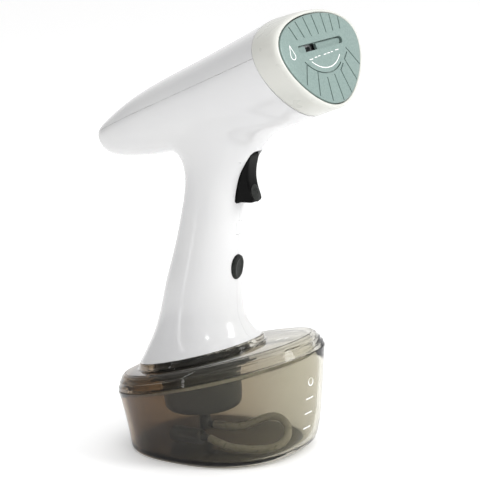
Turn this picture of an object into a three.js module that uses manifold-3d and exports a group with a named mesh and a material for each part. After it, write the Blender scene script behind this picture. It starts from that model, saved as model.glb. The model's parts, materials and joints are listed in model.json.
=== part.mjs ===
// Handheld garment steamer standing on its water tank.
// Millimetres. +Z is up, +X is the way the steam leaves, and the origin is the middle of the
// tank's underside. The lid lifts off the tank, the handset lifts out of the lid, the trigger
// swings on its pin and the power button slides into the handle.
import * as THREE from "three";
import { mergeVertices } from "three/addons/utils/BufferGeometryUtils.js";
import Module from "manifold-3d";

const wasm = await Module();
wasm.setup();

// ---- Driving dimensions ----
const GAP = 0.3; // between pieces that touch
const ROUND = 28; // facets round the large outlines
const SLOPE = 0.24; // rise of the lid's planes per millimetre forward
const WALL = 2.4; // moulded walls of tank, lid and handset

const TANK = { seamHalf: 74, seamWide: 56.5, seamX: 2.9, seamZ: 52, wall: 2.6 };
const LID = { topHalf: 69.4, topWide: 52.3, topX: 1.5, topZ: 61.5 };
const COLLAR = { half: 43, wide: 36, x: -11.5, z: 66.8 }; // rim that carries the handset
const WELL = { x: -13, radius: 25.5, floorZ: 24.5, wall: 1.8 };
const HOSE = { radius: 2.5, z: 12 }; // height at which it leaves the fitting
const FILTER = { x: -13, y: -17.5, z: 9.2, radius: 5.2, length: 27 };
const SOLE = { half: 56.6, wide: 45.8, x: -3.2, thick: 0.6 };

const FACE = { x: 100.7, z: 255.9, pitch: 20, half: 38.5, tall: 28, egg: 0.3 };
const RING = { depth: 18.5, rim: -0.6, boreHalf: 38.9, boreTall: 28.4 }; // rim just behind the face
const SLOT = { half: 23.5, tall: 4.6, v: 8.6, depth: 2 }; // steam slot in the face
const PORT = { u: -8.3, wide: 11.6, tall: 3 }; // opening through the bottom of the slot
const PARTING = 13; // height of the top cover's parting line above the barrel's axis
const GRIP = { x: -7.7, z: 91, leanDeg: 13.1 }; // foot of the handle's own axis
const TRIGGER = { pivotX: 37.5, pivotZ: 191.5, pinRadius: 1.5, width: 10.4 };
const POCKET = { x: 44, z: 180.3, length: 42, wide: 11.6, tall: 34 }; // the trigger's opening
const BUTTON = { x: 23.3, z: 121, tall: 16, wide: 10.6, proud: 1.6, leanDeg: 12 };
const LENS_SEAT = { x: 25.6, z: 147, thick: 3, wide: 5, tall: 9 };
const BUSH = { v: 7.8, bore: 3.5, neck: 4.5, flange: 6, rear: -184.2 };
const SCREWS = [
  // middle of each screw, X and Z
  [-2, 168],
  [12, 86],
  [-57, 203],
  [46, 218],
];

// Stations along the barrel's axis, measured back from the steam face:
// distance, height above the axis, depth below it, half-width.
const BARREL = [
  [-19, 33.2, 30.4, 41.6],
  [-45, 31.2, 28.6, 38.0],
  [-82, 28.9, 25.2, 34.0],
  [-115, 27.2, 20.5, 30.4],
  [-140, 24.9, 16.2, 26.4],
  [-158, 21.6, 12.0, 22.2],
  [-171, 18.7, 8.2, 17.6],
  [-180, 16.4, 4.2, 12.6],
  [-184, 14.0, -1.4, 7.6],
];
// Sections up the handle: height, middle, half-length, half-width, slope of the section.
const HANDLE = [
  [64.0, -11.5, 43.0, 36.0, 0.24],
  [69.0, -10.7, 38.6, 32.4, 0.17],
  [78.0, -8.9, 33.2, 28.0, 0.07],
  [91.0, -7.7, 28.5, 24.2, 0],
  [110.0, -4.1, 26.0, 22.1, 0],
  [134.0, 1.9, 22.9, 19.5, 0],
  [154.0, 6.8, 21.3, 18.0, 0],
  [170.0, 10.8, 20.8, 17.6, 0],
  [182.0, 13.6, 22.2, 18.0, 0],
  [191.0, 15.6, 26.2, 19.4, 0],
  [198.0, 16.0, 32.0, 21.4, 0],
  [206.0, 17.0, 39.0, 23.8, 0],
  [213.0, 24.0, 48.0, 26.5, 0],
  [217.0, 31.0, 53.0, 28.5, 0],
  [222.0, 35.0, 54.0, 29.0, 0],
];

// ---- Shape helpers ----
const rad = THREE.MathUtils.degToRad;
const root = new THREE.Group();

function outline(half, wide, power, count, egg = 0) {
  // Superellipse, point by point; egg > 0 widens it towards +v.
  const points = [];
  for (let i = 0; i < count; i++) {
    const a = (2 * Math.PI * i) / count;
    const c = Math.cos(a);
    const s = Math.sin(a);
    const v = wide * Math.sign(s) * Math.abs(s) ** (2 / power);
    const u = half * Math.sign(c) * Math.abs(c) ** (2 / power);
    points.push([u * (1 + (egg * v) / wide), v]);
  }
  return points;
}

function skin(rings) {
  // Closed body through rings of equal point count, capped at both ends.
  const count = rings[0].length;
  const positions = rings.flat().flatMap((p) => [p.x, p.y, p.z]);
  const index = [];
  for (let r = 0; r + 1 < rings.length; r++) {
    for (let i = 0; i < count; i++) {
      const a = r * count + i;
      const b = r * count + ((i + 1) % count);
      index.push(a, b, a + count, b, b + count, a + count);
    }
  }
  for (const r of [0, rings.length - 1]) {
    const middle = rings[r].reduce((sum, p) => sum.add(p), new THREE.Vector3());
    middle.divideScalar(count);
    const tip = positions.length / 3;
    positions.push(middle.x, middle.y, middle.z);
    for (let i = 0; i < count; i++) {
      const a = r * count + i;
      const b = r * count + ((i + 1) % count);
      index.push(...(r === 0 ? [b, a, tip] : [a, b, tip]));
    }
  }
  const geometry = new THREE.BufferGeometry();
  geometry.setAttribute("position", new THREE.Float32BufferAttribute(positions, 3));
  geometry.setIndex(index);
  return volume(geometry) < 0 ? flipped(geometry) : geometry;
}

function volume(geometry) {
  const p = geometry.attributes.position;
  const corner = (i) => new THREE.Vector3().fromBufferAttribute(p, geometry.index.getX(i));
  let total = 0;
  for (let t = 0; t < geometry.index.count; t += 3) {
    total += corner(t).dot(corner(t + 1).cross(corner(t + 2))) / 6;
  }
  return total;
}

function flipped(geometry) {
  const order = Array.from(geometry.index.array);
  for (let t = 0; t < order.length; t += 3) {
    [order[t], order[t + 1]] = [order[t + 1], order[t]];
  }
  geometry.setIndex(order);
  return geometry;
}

function solid(geometry) {
  let bare = geometry.clone();
  bare.deleteAttribute("normal");
  bare.deleteAttribute("uv");
  bare = mergeVertices(bare, 1e-4);
  return new wasm.Manifold(
    new wasm.Mesh({
      numProp: 3,
      vertProperties: new Float32Array(bare.attributes.position.array),
      triVerts: new Uint32Array(bare.index.array),
    }),
  );
}

function faceted(body) {
  const mesh = body.getMesh();
  const geometry = new THREE.BufferGeometry();
  geometry.setAttribute("position", new THREE.BufferAttribute(mesh.vertProperties, 3));
  geometry.setIndex(new THREE.BufferAttribute(mesh.triVerts, 1));
  return geometry;
}

function placed(geometry, x = 0, y = 0, z = 0, pitch = 0) {
  return geometry.rotateY(-rad(pitch)).translate(x, y, z);
}

function block(sx, sy, sz, x = 0, y = 0, z = 0) {
  return new THREE.BoxGeometry(sx, sy, sz).translate(x, y, z);
}

function rod(radius, length, axis = "z", sides = 20) {
  const geometry = new THREE.CylinderGeometry(radius, radius, length, sides);
  if (axis === "x") geometry.rotateZ(Math.PI / 2);
  if (axis === "z") geometry.rotateX(Math.PI / 2);
  return geometry;
}

function turned(profile, axis = "z", sides = 24) {
  // Profile of [radius, height] points, closed on itself or ending on the axis.
  const geometry = new THREE.LatheGeometry(
    profile.map(([r, h]) => new THREE.Vector2(r, h)),
    sides,
  );
  if (axis === "x") geometry.rotateZ(-Math.PI / 2);
  if (axis === "z") geometry.rotateX(Math.PI / 2);
  const bare = geometry.clone();
  bare.deleteAttribute("normal");
  bare.deleteAttribute("uv");
  const merged = mergeVertices(bare, 1e-4);
  return volume(merged) < 0 ? flipped(merged) : merged;
}

function hoop(outer, inner, height, axis = "z", sides = 24) {
  const low = -height / 2;
  const high = height / 2;
  const profile = [[inner, low], [outer, low], [outer, high], [inner, high], [inner, low]];
  return turned(profile, axis, sides);
}

function tube(points, radius, sides = 8, steps = 24) {
  const path = new THREE.CatmullRomCurve3(points.map((p) => new THREE.Vector3(...p)));
  const circle = new THREE.Shape();
  for (let i = 0; i < sides; i++) {
    const a = (2 * Math.PI * i) / sides;
    const method = i === 0 ? "moveTo" : "lineTo";
    circle[method](radius * Math.cos(a), radius * Math.sin(a));
  }
  return new THREE.ExtrudeGeometry(circle, { steps, bevelEnabled: false, extrudePath: path });
}

function add(name, geometry, finish, parent = root) {
  const clean = geometry.index && !geometry.attributes.uv ? geometry : faceted(solid(geometry));
  clean.computeVertexNormals();
  const mesh = new THREE.Mesh(clean, new THREE.MeshStandardMaterial(finish));
  mesh.name = name;
  parent.add(mesh);
  return mesh;
}

// ---- Finishes ----
const WHITE_ABS = { color: 0xeeedea, roughness: 0.22, metalness: 0 };
const IVORY_PP = { color: 0xd9d8c6, roughness: 0.45, metalness: 0 };
const SMOKED = { color: 0x6f6a66, roughness: 0.08, metalness: 0, transparent: true, opacity: 0.45 };
const GREY_ABS = { color: 0x55565a, roughness: 0.5, metalness: 0 };
const BLACK_ABS = { color: 0x1b1b1d, roughness: 0.35, metalness: 0 };
const GREEN_ALU = { color: 0x9fae9b, roughness: 0.38, metalness: 0.8 };
const CAST_ALU = { color: 0xa9abad, roughness: 0.55, metalness: 0.9 };
const STEEL = { color: 0xb9bbbe, roughness: 0.3, metalness: 1 };
const SILICONE = { color: 0xd8d8d4, roughness: 0.6, metalness: 0 };
const RUBBER = { color: 0x242426, roughness: 0.8, metalness: 0 };
const COPPER = { color: 0xb07a4e, roughness: 0.4, metalness: 1 };
const BOARD = { color: 0x2f5a3a, roughness: 0.6, metalness: 0 };
const LENS = { color: 0xd6dde0, roughness: 0.15, metalness: 0 };

// ---- Tank ----
const TANK_ROWS = [
  // share of the height, rear end, front end, half-width, squareness of the outline
  [0, -60.4, 54, 46.4, 2.45],
  [0.03, -61.8, 60.2, 47.8, 2.4],
  [0.1, -62.4, 64.6, 48.8, 2.35],
  [0.3, -64.0, 68.8, 50.6, 2.25],
  [0.65, -67.4, 73.2, 53.4, 2.1],
  [1, -71.1, 76.9, 56.5, 2.0],
];

function tankRing([share, rear, front, wide, power], inset, lift) {
  const half = (front - rear) / 2 - inset;
  const middle = (front + rear) / 2;
  return outline(half, wide - inset, power, ROUND).map(([u, v]) => {
    const x = middle + u;
    return new THREE.Vector3(x, v, share * (TANK.seamZ - GAP / 2 + SLOPE * x) + lift);
  });
}

function tankBody() {
  // The underside is lifted by the sole and its gap; the hollow is open at the seam.
  const lift = SOLE.thick + GAP;
  const outer = skin(TANK_ROWS.map((row) => tankRing(row, 0, lift * (1 - row[0]))));
  const inner = skin(
    TANK_ROWS.map((row) =>
      tankRing(row, TANK.wall, row[0] === 1 ? 6 : (lift + TANK.wall) * (1 - row[0])),
    ),
  );
  return faceted(solid(outer).subtract(solid(inner)));
}
add("tank_body", tankBody(), SMOKED);

function basePad() {
  // Flat non-slip sole, the surface the steamer stands on.
  const ring = (inset, z) =>
    outline(SOLE.half - inset, SOLE.wide - inset, 2.45, ROUND).map(
      ([u, v]) => new THREE.Vector3(SOLE.x + u, v, z),
    );
  return skin([ring(0.6, 0), ring(0, 0.25), ring(0, SOLE.thick)]);
}
add("base_pad", basePad(), RUBBER);

// ---- Lid ----
const SPIGOT_INSET = TANK.wall + 2.6; // from the seam outline to the spigot inside the tank

function sloped(half, wide, x, z, power = 2, count = ROUND) {
  return outline(half, wide, power, count).map(
    ([u, v]) => new THREE.Vector3(x + u, v, z + SLOPE * (x + u)),
  );
}

function lidSkin(inset, drop) {
  const side = (share, more = 0, rise = 0) =>
    sloped(
      THREE.MathUtils.lerp(TANK.seamHalf, LID.topHalf, share) - inset - more,
      THREE.MathUtils.lerp(TANK.seamWide, LID.topWide, share) - inset - more,
      THREE.MathUtils.lerp(TANK.seamX, LID.topX, share),
      THREE.MathUtils.lerp(TANK.seamZ + GAP / 2, LID.topZ, share) - drop + rise,
    );
  return skin([side(0), side(0.6), side(0.92), side(1, 1.4, 0.4), side(1, 5, 0.9)]);
}

function collarSkin(inset, low, high) {
  return skin([
    sloped(COLLAR.half + 2.2 - inset, COLLAR.wide + 2.2 - inset, COLLAR.x, low),
    sloped(COLLAR.half + 0.6 - inset, COLLAR.wide + 0.6 - inset, COLLAR.x, high),
  ]);
}

function tankLid() {
  const shell = solid(lidSkin(0, 0)).subtract(solid(lidSkin(WALL, WALL + 0.2)));
  // The hollow runs out through the underside.
  const mouth = skin([
    sloped(TANK.seamHalf - WALL, TANK.seamWide - WALL, TANK.seamX, TANK.seamZ - 8),
    sloped(TANK.seamHalf - WALL, TANK.seamWide - WALL, TANK.seamX, TANK.seamZ + 2),
  ]);
  const spigotOut = [TANK.seamHalf - SPIGOT_INSET, TANK.seamWide - SPIGOT_INSET];
  const spigot = solid(
    skin([-6, 3].map((rise) => sloped(...spigotOut, TANK.seamX, TANK.seamZ + rise))),
  ).subtract(
    solid(
      skin([-9, 6].map((rise) => sloped(
        spigotOut[0] - 2, spigotOut[1] - 2, TANK.seamX, TANK.seamZ + rise,
      ))),
    ),
  );
  const web = solid(
    skin([0.2, 3].map((rise) => sloped(
      TANK.seamHalf - 1, TANK.seamWide - 1, TANK.seamX, TANK.seamZ + rise,
    ))),
  ).subtract(
    solid(
      skin([-2, 5].map((rise) => sloped(
        spigotOut[0] - 1, spigotOut[1] - 1, TANK.seamX, TANK.seamZ + rise,
      ))),
    ),
  );
  const collar = solid(collarSkin(0, LID.topZ - 1, COLLAR.z - GAP));
  const hole = solid(
    skin([-14, 12].map((rise) => sloped(34, 30.5, COLLAR.x, LID.topZ + rise))),
  );
  return faceted(
    shell.subtract(solid(mouth)).add(web).add(spigot).add(collar).subtract(hole),
  );
}
add("tank_lid", tankLid(), SMOKED);

function lidGasket() {
  // Silicone ring round the lid's spigot, under the seam.
  const half = TANK.seamHalf - SPIGOT_INSET + GAP;
  const wide = TANK.seamWide - SPIGOT_INSET + GAP;
  const ring = (extra, rise) => sloped(half + extra, wide + extra, TANK.seamX, TANK.seamZ + rise);
  const outer = solid(skin([ring(0.3, -3), ring(0.3, -1.4)]));
  return faceted(outer.subtract(solid(skin([ring(0, -6), ring(0, 0)]))));
}
add("lid_gasket", lidGasket(), SILICONE);

// ---- Docking well, hose and filter ----
const wellRing = (radius, z, squash = 1, slope = 0, x = WELL.x) =>
  outline(radius * squash, radius, 2, 24).map(
    ([u, v]) => new THREE.Vector3(x + u, v, z + slope * (x + u)),
  );

function dockingWell() {
  const cup = (inset, floor) =>
    skin([
      wellRing(WELL.radius - 3.5 - inset, WELL.floorZ + floor),
      wellRing(WELL.radius - 0.8 - inset, WELL.floorZ + 2 + floor),
      wellRing(WELL.radius - inset, WELL.floorZ + 6 + floor),
      wellRing(WELL.radius + 1.4 - inset, WELL.floorZ + 20),
      wellRing(WELL.radius + 2.4 - inset, 56, 1.06, SLOPE * 0.9),
      wellRing(WELL.radius + 2.8 - inset, floor ? 66 : 63.6, 1.08, SLOPE, -12.2),
    ]);
  const port = solid(rod(2, 8, "z", 12).translate(WELL.x, 0, WELL.floorZ + 1));
  const flange = (extra, low, high) =>
    solid(skin([low, high].map((z) => wellRing(WELL.radius + 4.5 + extra, z, 1.1, SLOPE, -12))));
  return faceted(
    solid(cup(0, 0))
      .add(flange(2.5, LID.topZ - WALL - 2.9, LID.topZ - WALL - 0.5))
      .subtract(solid(cup(WELL.wall, WELL.wall)))
      .subtract(port),
  );
}
add("docking_well", dockingWell(), GREY_ABS);

function hoseFitting() {
  // Elbow under the well: a stub down from its floor and a barb forward into the hose.
  const top = WELL.floorZ - GAP;
  const bottom = HOSE.z - 3.4;
  const stub = rod(3.8, top - bottom, "z", 16).translate(WELL.x, 0, (top + bottom) / 2);
  const barb = rod(2.3, 7.3, "x", 12).translate(WELL.x + 3.65, 0, HOSE.z);
  const bore = rod(1.4, top - HOSE.z, "z", 10).translate(WELL.x, 0, (top + HOSE.z) / 2 + 0.5);
  const outlet = rod(1.4, 8, "x", 10).translate(WELL.x + 4, 0, HOSE.z);
  return faceted(
    solid(stub).add(solid(barb)).subtract(solid(bore).add(solid(outlet))),
  );
}
add("hose_fitting", hoseFitting(), GREY_ABS);

// Middle line of the hose from the fitting to the filter on the tank's floor.
const HOSE_ROUTE = [
  [-5.4, 0, 12],
  [2, 0, 12],
  [10, 0.2, 12.2],
  [18, 0.8, 13.8],
  [25.5, 2.2, 17.2],
  [33, 4, 20.4],
  [40.5, 5.2, 21.9],
  [48, 4.4, 19.8],
  [53, 0.6, 15],
  [53.4, -5.4, 10.2],
  [49, -11.6, 7.4],
  [41, -16.4, 6.5],
  [31, -19.2, 6.4],
  [20, -20, 6.8],
  [10, -18.9, 8.2],
  [4, -17.6, 9.2],
];
add("suction_hose", tube(HOSE_ROUTE, HOSE.radius, 8, 40), SILICONE);

function filterWeight() {
  // Sintered strainer with a steel core that keeps the hose's end on the floor of the tank.
  const r = FILTER.radius;
  const half = FILTER.length / 2;
  const profile = [
    [0, -half], [r - 1.2, -half], [r, -half + 1.2], [r, half - 4],
    [r - 1, half - 3], [2.3, half - 3], [2.3, half + 2.6], [0, half + 2.6],
  ];
  return turned(profile, "x", 16);
}
add("filter_weight", filterWeight(), GREY_ABS).position.set(FILTER.x, FILTER.y, FILTER.z);

function dockSeal() {
  return hoop(5.4, 2.75, 3, "z", 16).translate(WELL.x, 0, WELL.floorZ + WELL.wall + GAP + 1.5);
}
add("dock_seal", dockSeal(), SILICONE);

// ---- Handset shells ----
function barrelRing([s, top, depth, half], inset, egg) {
  const middle = (top - depth) / 2;
  const tall = (top + depth) / 2 - inset;
  const c = Math.cos(rad(FACE.pitch));
  const n = Math.sin(rad(FACE.pitch));
  return outline(half - inset, tall, 2.15, ROUND, egg).map(([u, v]) => {
    const h = middle + v;
    return new THREE.Vector3(FACE.x + s * c - h * n, u, FACE.z + s * n + h * c);
  });
}

function barrelSkin(inset) {
  const last = BARREL.length - 1;
  const rings = BARREL.map((row, i) => {
    const egg = THREE.MathUtils.lerp(0.28, 0.1, i / last);
    const [s, ...rest] = row;
    const shift = i === 0 ? inset * 4 : i > last - 2 ? inset : 0;
    return barrelRing([s + shift, ...rest], inset, egg);
  });
  return skin(rings);
}

function handleSkin(inset) {
  const rings = HANDLE.map(([z, x, half, wide, slope], i) => {
    const drop = i === 0 ? inset : 0;
    return outline(half - inset, wide - inset, 2.08, ROUND).map(
      ([u, v]) => new THREE.Vector3(x + u, v, z - drop + slope * u),
    );
  });
  return skin(rings);
}

const axisPoint = (s, u, v) => {
  const c = Math.cos(rad(FACE.pitch));
  const n = Math.sin(rad(FACE.pitch));
  return [FACE.x + s * c - v * n, u, FACE.z + s * n + v * c];
};
const alongBarrel = (geometry, s = 0, u = 0, v = 0) =>
  placed(geometry, ...axisPoint(s, u, v), FACE.pitch);

function buttonOval(extra, from, to) {
  // Upright oval column along X, in the button's own place on the handle's front.
  const half = BUTTON.wide / 2 + extra;
  const tall = BUTTON.tall / 2 + extra;
  return skin(
    [from, to].map((x) =>
      outline(half, tall, 2.2, 18).map(([u, v]) => new THREE.Vector3(x, u, v)),
    ),
  );
}
const atButton = (geometry) =>
  geometry.rotateY(rad(BUTTON.leanDeg)).translate(BUTTON.x, 0, BUTTON.z);

function lensBlock(extra) {
  const { x, z, thick, wide, tall } = LENS_SEAT;
  return block(thick + extra, wide + extra, tall + extra).rotateY(rad(BUTTON.leanDeg)).translate(x, 0, z);
}

function handsetShell() {
  const outer = solid(barrelSkin(0)).add(solid(handleSkin(0)));
  const hollow = solid(barrelSkin(WALL)).add(solid(handleSkin(WALL)));
  let shell = outer.subtract(hollow);
  for (const [x, z] of SCREWS) {
    const boss = solid(rod(3.4, 90, "y", 10).translate(x, 0, z)).intersect(outer);
    shell = shell.add(boss);
  }
  const cuts = [
    block(POCKET.length, POCKET.wide, POCKET.tall, POCKET.x, 0, POCKET.z),
    rod(TRIGGER.pinRadius + GAP, 20.4, "y", 14).translate(TRIGGER.pivotX, 0, TRIGGER.pivotZ),
    atButton(buttonOval(GAP, -6, 4)),
    lensBlock(2 * GAP),
    alongBarrel(rod(BUSH.neck + 0.4, 16, "x", 16), BUSH.rear + 2, 0, BUSH.v),
  ];
  for (const [x, z] of SCREWS) {
    cuts.push(rod(1.7, 40, "y", 8).translate(x, 10, z));
    cuts.push(rod(3, 60, "y", 8).translate(x, 38, z));
  }
  for (const cut of cuts) shell = shell.subtract(solid(cut));
  return shell;
}

const shell = handsetShell();
const upper = (gap) => solid(alongBarrel(block(400, 200, 100), 0, 0, PARTING + 50 + gap));
const side = (sign) => solid(block(400, 100, 400, 0, sign * (50 + GAP / 2), 200));
const sides = shell.subtract(upper(-GAP / 2));
add("top_cover", faceted(shell.intersect(upper(GAP / 2))), WHITE_ABS);
add("left_shell", faceted(sides.intersect(side(1))), WHITE_ABS);
add("right_shell", faceted(sides.intersect(side(-1))), WHITE_ABS);

function shellScrew() {
  const profile = [[0, -9], [1.4, -9], [1.4, 5.2], [2.6, 5.2], [2.6, 7.4], [0, 7.4]];
  return turned(profile, "y", 8);
}
SCREWS.forEach(([x, z], i) => {
  add(`shell_screw_${i + 1}`, shellScrew(), STEEL).position.set(x, 3, z);
});

// ---- Steam head, in the barrel's own frame: X forward, Z away from the trigger ----
const barrel = new THREE.Group();
barrel.position.set(FACE.x, 0, FACE.z);
barrel.rotation.y = -rad(FACE.pitch);
root.add(barrel);

const facePlane = (s, half, tall, v = 0, count = ROUND, egg = FACE.egg) =>
  outline(half, tall, 2.06, count, egg).map(([a, b]) => new THREE.Vector3(s, a, b + v));

function frontRing() {
  const outer = skin([
    facePlane(-RING.depth, 42.0, 31.8, 1.4),
    facePlane(-9, 42.3, 31.4, 0.7),
    facePlane(RING.rim - 1.6, 42.0, 31.0),
    facePlane(RING.rim - 0.6, 41.4, 30.6),
    facePlane(RING.rim, 40.4, 29.6),
  ]);
  const inner = skin([
    facePlane(-RING.depth - 2, RING.boreHalf, RING.boreTall + 0.2, 1.2),
    facePlane(-4, RING.boreHalf, RING.boreTall),
    facePlane(RING.rim + 2, RING.boreHalf, RING.boreTall),
  ]);
  return faceted(solid(outer).subtract(solid(inner)));
}
add("front_ring", frontRing(), IVORY_PP, barrel);

function steamPlate() {
  const plate = skin([
    facePlane(-3.4, FACE.half, FACE.tall),
    facePlane(-0.6, FACE.half, FACE.tall),
    facePlane(0, FACE.half - 0.6, FACE.tall - 0.6),
  ]);
  const slot = skin(
    [-SLOT.depth, 1].map((s) =>
      outline(SLOT.half, SLOT.tall / 2, 3.2, 28).map(([a, b]) => new THREE.Vector3(s, a, b + SLOT.v)),
    ),
  );
  const port = block(8, PORT.wide, PORT.tall, -SLOT.depth, PORT.u, SLOT.v);
  return faceted(solid(plate).subtract(solid(slot)).subtract(solid(port)));
}
add("steam_plate", steamPlate(), GREEN_ALU, barrel);

function plateGasket() {
  const ring = skin([-5.2, -3.7].map((s) => facePlane(s, 35, 25, 0, ROUND)));
  return faceted(
    solid(ring).subtract(solid(skin([-6, -3].map((s) => facePlane(s, 31.5, 21.5, 0, ROUND))))),
  );
}
add("plate_gasket", plateGasket(), SILICONE, barrel);

// Heater loop lying half in the back of the steam generator.
const HEATER_S = -34.5;
const heaterRoute = [
  [HEATER_S - 11, 25, 12.5],
  [HEATER_S - 5, 25, 12.5],
  [HEATER_S - 0.6, 22.6, 12.5],
  [HEATER_S, 17, 12.5],
  [HEATER_S, 2, 12.5],
  [HEATER_S, -14, 12.5],
  [HEATER_S, -22, 8.5],
  [HEATER_S, -24.5, 0],
  [HEATER_S, -22, -8.5],
  [HEATER_S, -14, -12.5],
  [HEATER_S, 2, -12.5],
  [HEATER_S, 13, -12.5],
  [HEATER_S - 0.6, 18.6, -12.5],
  [HEATER_S - 5, 21, -12.5],
  [HEATER_S - 11, 21, -12.5],
];

function steamGenerator() {
  const body = skin([
    facePlane(HEATER_S, 29.5, 19.5, 0, ROUND),
    facePlane(HEATER_S + 2, 31, 21, 0, ROUND),
    facePlane(-5.5, 33, 23, 0, ROUND),
  ]);
  const groove = solid(tube(heaterRoute, 3.7, 8, 30));
  const chamber = solid(block(14, 22, 9, HEATER_S + 4, -2, 0));
  // The steam's way runs forward from the chamber and turns up to the port.
  const throat = solid(block(40, 9, 2.4, -20, PORT.u, 3)).add(
    solid(block(8, 9, 8, -8, PORT.u, 5.8)),
  );
  return faceted(solid(body).subtract(groove).subtract(chamber).subtract(throat));
}
add("steam_generator", steamGenerator(), CAST_ALU, barrel);
add("heating_element", tube(heaterRoute, 3.2, 8, 30), STEEL, barrel);

function generatorCover() {
  const plate = solid(block(2, 28, 15, HEATER_S - 1.3, -2, 0));
  return faceted(plate.subtract(solid(rod(2.3, 8, "x", 12).translate(HEATER_S - 1, -2, 0))));
}
add("generator_cover", generatorCover(), STEEL, barrel);

function inletNipple() {
  const profile = [
    [1.1, -6], [2, -6], [2, 1.4], [3.8, 1.4], [3.8, 3.6], [2.6, 3.6], [2.6, 9], [1.1, 9], [1.1, -6],
  ];
  return turned(profile.map(([r, h]) => [r, -h]), "x", 14).translate(HEATER_S - 1, -2, 0);
}
add("inlet_nipple", inletNipple(), COPPER, barrel);

function thermostat() {
  const profile = [[0, 0], [6, 0], [6, -5.5], [4.2, -5.5], [4.2, -9], [0, -9]];
  return turned(profile, "x", 16).translate(HEATER_S - GAP, 21.5, 0);
}
add("thermostat", thermostat(), STEEL, barrel);
add("thermal_fuse", rod(2.1, 15, "y", 10).translate(HEATER_S - 2.5, -2, 18), COPPER, barrel);

function controlBoard() {
  let board = solid(block(52, 33, 1.6));
  const parts = [
    [14, 12, 9, -16, -7], [8, 8, 6, -2, 9], [10, 6, 12, 6, -9], [12, 5, 8, 17, 8], [6, 12, 5, 20, -8],
  ];
  for (const [length, wide, tall, x, y] of parts) {
    board = board.add(solid(block(length, wide, tall + 0.4, x, y, tall / 2)));
  }
  return faceted(board).translate(-124, 0, 0.5);
}
add("control_board", controlBoard(), BOARD, barrel);

function cordBush() {
  // Flush bush in the tail that the supply lead passes through.
  const { v, bore, neck, flange, rear } = BUSH;
  const profile = [
    [bore, 0], [neck, 0], [neck, 9.2], [flange, 9.2], [flange, 11.2], [neck, 11.2], [neck, 13.2],
    [bore, 13.2], [bore, 0],
  ];
  return turned(profile, "x", 16).translate(rear, 0, v);
}
add("cord_bush", cordBush(), RUBBER, barrel);

function wire(points, radius = 1.1) {
  return tube(points, radius, 6, 14);
}
add("live_wire", wire([[-97, 12, 3], [-84, 20, 8], [-66, 26, 12], [-46, 25, 12.5]]), RUBBER, barrel);
add("neutral_wire", wire([[-97, 6, 3], [-84, 14, -4], [-66, 21, -11], [-46, 21, -12.5]]), RUBBER, barrel);

// ---- Pump and pipes in the grip, in a frame that leans with the handle ----
const grip = new THREE.Group();
grip.position.set(GRIP.x, 0, GRIP.z);
grip.rotation.y = rad(GRIP.leanDeg);
root.add(grip);
const PUMP = { x: -5.8, from: 8, to: 56, radius: 6.6, coilZ: 32 };

function pumpBody() {
  const { radius, from, to } = PUMP;
  const profile = [
    [0, from - 6], [2, from - 6], [2, from], [radius, from], [radius, to],
    [2, to], [2, to + 6], [0, to + 6],
  ];
  return turned(profile, "z", 16).translate(PUMP.x, 0, 0);
}
add("pump", pumpBody(), BLACK_ABS, grip);

function pumpCoil() {
  const { x, radius, coilZ } = PUMP;
  const yoke = solid(block(18, 18, 24, x, 0, coilZ));
  return faceted(yoke.subtract(solid(rod(radius + GAP, 40, "z", 16).translate(x, 0, coilZ))));
}
add("pump_coil", pumpCoil(), STEEL, grip);

for (const [name, z] of [["pump_mount_lower", 13.5], ["pump_mount_upper", 50.5]]) {
  const ring = hoop(9.6, PUMP.radius + GAP, 5, "z", 16).translate(PUMP.x, 0, z);
  add(name, ring, RUBBER, grip);
}

// ---- Coupling between handle and well ----
const COUPLER = { radius: 21, bottom: 38, grooveZ: 46 };
function baseCoupler() {
  // Plate across the foot of the handle with a hollow plug down into the well.
  const plate = solid(
    skin([0.6, 3.6].map((rise) => sloped(36.2, 29.4, COLLAR.x, COLLAR.z + rise, 2.08))),
  );
  const plug = solid(
    skin([
      wellRing(COUPLER.radius - 1.4, COUPLER.bottom),
      wellRing(COUPLER.radius, COUPLER.bottom + 1.4),
      wellRing(COUPLER.radius + 0.6, 62),
      wellRing(COUPLER.radius + 0.8, COLLAR.z + 2, 1, SLOPE, WELL.x),
    ]),
  );
  const groove = solid(hoop(26, COUPLER.radius - 1.2, 3, "z", 24).translate(WELL.x, 0, COUPLER.grooveZ));
  const hollow = solid(
    skin([
      wellRing(COUPLER.radius - 4, COUPLER.bottom + 3),
      wellRing(COUPLER.radius - 3.6, 82, 1, 0),
    ]),
  );
  const spigot = solid(rod(2.4, 48.8, "z", 12).translate(WELL.x, 0, COUPLER.bottom + 13.6));
  const bore = solid(rod(1.3, 60, "z", 10).translate(WELL.x, 0, COUPLER.bottom + 13.6));
  return faceted(
    plate.add(plug).subtract(groove).subtract(hollow).add(spigot).subtract(bore),
  );
}
add("base_coupler", baseCoupler(), GREY_ABS);
add(
  "coupler_o_ring",
  hoop(COUPLER.radius + 1.4, COUPLER.radius - 0.9, 2.2, "z", 24).translate(
    WELL.x, 0, COUPLER.grooveZ,
  ),
  RUBBER,
);

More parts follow.
